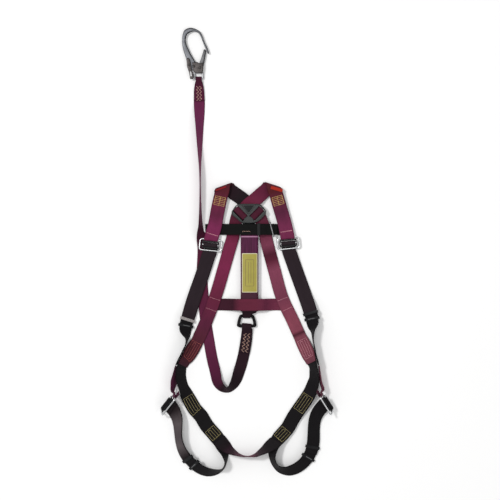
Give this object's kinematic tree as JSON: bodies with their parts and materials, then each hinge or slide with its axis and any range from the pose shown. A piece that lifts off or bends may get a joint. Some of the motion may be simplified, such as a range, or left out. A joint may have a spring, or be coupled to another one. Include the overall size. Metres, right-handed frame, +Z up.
{
  "type": "safety harness",
  "caption": "Full-body fall-arrest harness laid flat, with a dorsal ring, energy absorber and webbing lanyard ending in a scaffold hook.",
  "frame": {"origin": "centre of the harness's box without the lanyard and hook, at the surface it lies on", "axes": "+X to the right seen from above with the shoulders at the top, +Y from the leg loops to the shoulders, +Z up from the surface"},
  "size_m": [0.5534, 1.4383, 0.0519],
  "materials": {
    "maroon_webbing": "woven",
    "black_webbing": "woven",
    "elastic": "ribbed",
    "moulded_slide": "satin",
    "buckle_plate": "satin",
    "dorsal_plate": "satin",
    "ring_steel": "zinc plated",
    "link_steel": "dark",
    "hook_steel": "zinc plated",
    "pin_steel": "bright",
    "absorber_cover": "smooth",
    "label": "smooth",
    "tag": "woven"
  },
  "bodies": {
    "harness": {"absorber_core": "black_webbing", "absorber_cover": "absorber_cover", "absorber_label": "label", "absorber_tail_loop": "black_webbing", "absorber_top_loop": "black_webbing", "chest_slider": "ring_steel", "chest_strap_left": "black_webbing", "chest_strap_right": "black_webbing", "connecting_link": "link_steel", "dorsal_plate": "dorsal_plate", "dorsal_ring": "ring_steel", "front_keeper_left": "elastic", "front_keeper_right": "elastic", "front_slider_left": "moulded_slide", "front_slider_right": "moulded_slide", "front_strap_left": "black_webbing", "front_strap_right": "black_webbing", "hip_tab_left": "maroon_webbing", "hip_tab_right": "maroon_webbing", "lanyard_eye_lower": "maroon_webbing", "lanyard_eye_upper": "maroon_webbing", "lanyard_strap": "maroon_webbing", "leg_keeper_left": "elastic", "leg_keeper_right": "elastic", "leg_left_plate": "buckle_plate", "leg_left_ring": "ring_steel", "leg_right_plate": "buckle_plate", "leg_right_ring": "ring_steel", "leg_slider_left": "moulded_slide", "leg_slider_right": "moulded_slide", "leg_strap_left": "black_webbing", "leg_strap_right": "black_webbing", "lumbar_strap": "maroon_webbing", "seat_strap": "maroon_webbing", "shoulder_left_plate": "buckle_plate", "shoulder_left_ring": "ring_steel", "shoulder_right_plate": "buckle_plate", "shoulder_right_ring": "ring_steel", "shoulder_strap_left": "maroon_webbing", "shoulder_strap_right": "maroon_webbing", "shoulder_tag_left": "tag", "shoulder_tag_right": "tag", "thigh_strap_left": "black_webbing", "thigh_strap_right": "black_webbing"},
    "shoulder_left_bar": {"shoulder_left_bar": "ring_steel"},
    "shoulder_right_bar": {"shoulder_right_bar": "ring_steel"},
    "leg_left_bar": {"leg_left_bar": "ring_steel"},
    "leg_right_bar": {"leg_right_bar": "ring_steel"},
    "chest_keeper": {"chest_keeper": "elastic"},
    "hook": {"hook_frame": "hook_steel", "hook_cover_top": "hook_steel", "hook_cover_bottom": "hook_steel", "hook_pin_gate": "pin_steel", "hook_pin_rivet": "pin_steel", "hook_pin_lever": "pin_steel", "hook_bail": "hook_steel", "hook_gate_spring": "pin_steel", "hook_lever_spring": "pin_steel"},
    "hook_gate": {"hook_gate": "hook_steel"},
    "hook_lever": {"hook_lever": "hook_steel"}
  },
  "joints": [
    {"name": "shoulder_left_bar_slide", "type": "slide", "parent": "harness", "child": "shoulder_left_bar", "axis": [0.1045, 0.9945, 0], "range_m": [-0.002, 0.002]},
    {"name": "shoulder_right_bar_slide", "type": "slide", "parent": "harness", "child": "shoulder_right_bar", "axis": [-0.1045, 0.9945, 0], "range_m": [-0.002, 0.002]},
    {"name": "leg_left_bar_slide", "type": "slide", "parent": "harness", "child": "leg_left_bar", "axis": [0.1524, -0.3738, 0.9149], "range_m": [-0.002, 0.002]},
    {"name": "leg_right_bar_slide", "type": "slide", "parent": "harness", "child": "leg_right_bar", "axis": [-0.191, -0.3556, 0.9149], "range_m": [-0.002, 0.002]},
    {"name": "chest_keeper_slide", "type": "slide", "parent": "harness", "child": "chest_keeper", "axis": [-1, 0, 0], "range_m": [0, 0.04]},
    {"name": "hook_swing", "type": "hinge", "parent": "harness", "child": "hook", "pos_m": [-0.155, 0.806, 0.008], "axis": [1, 0, 0], "range_deg": [0, 75]},
    {"name": "hook_gate_hinge", "type": "hinge", "parent": "hook", "child": "hook_gate", "pos_m": [-0.15, 0.84, 0.008], "axis": [0, 0, 1], "range_deg": [0, 34], "stiffness_Nm_per_rad": 0.08, "springref_deg": -20.05},
    {"name": "hook_lever_hinge", "type": "hinge", "parent": "hook", "child": "hook_lever", "pos_m": [-0.185, 0.849, 0.014], "axis": [0, 0, 1], "range_deg": [0, 7], "stiffness_Nm_per_rad": 0.15, "springref_deg": -8.59}
  ]
}
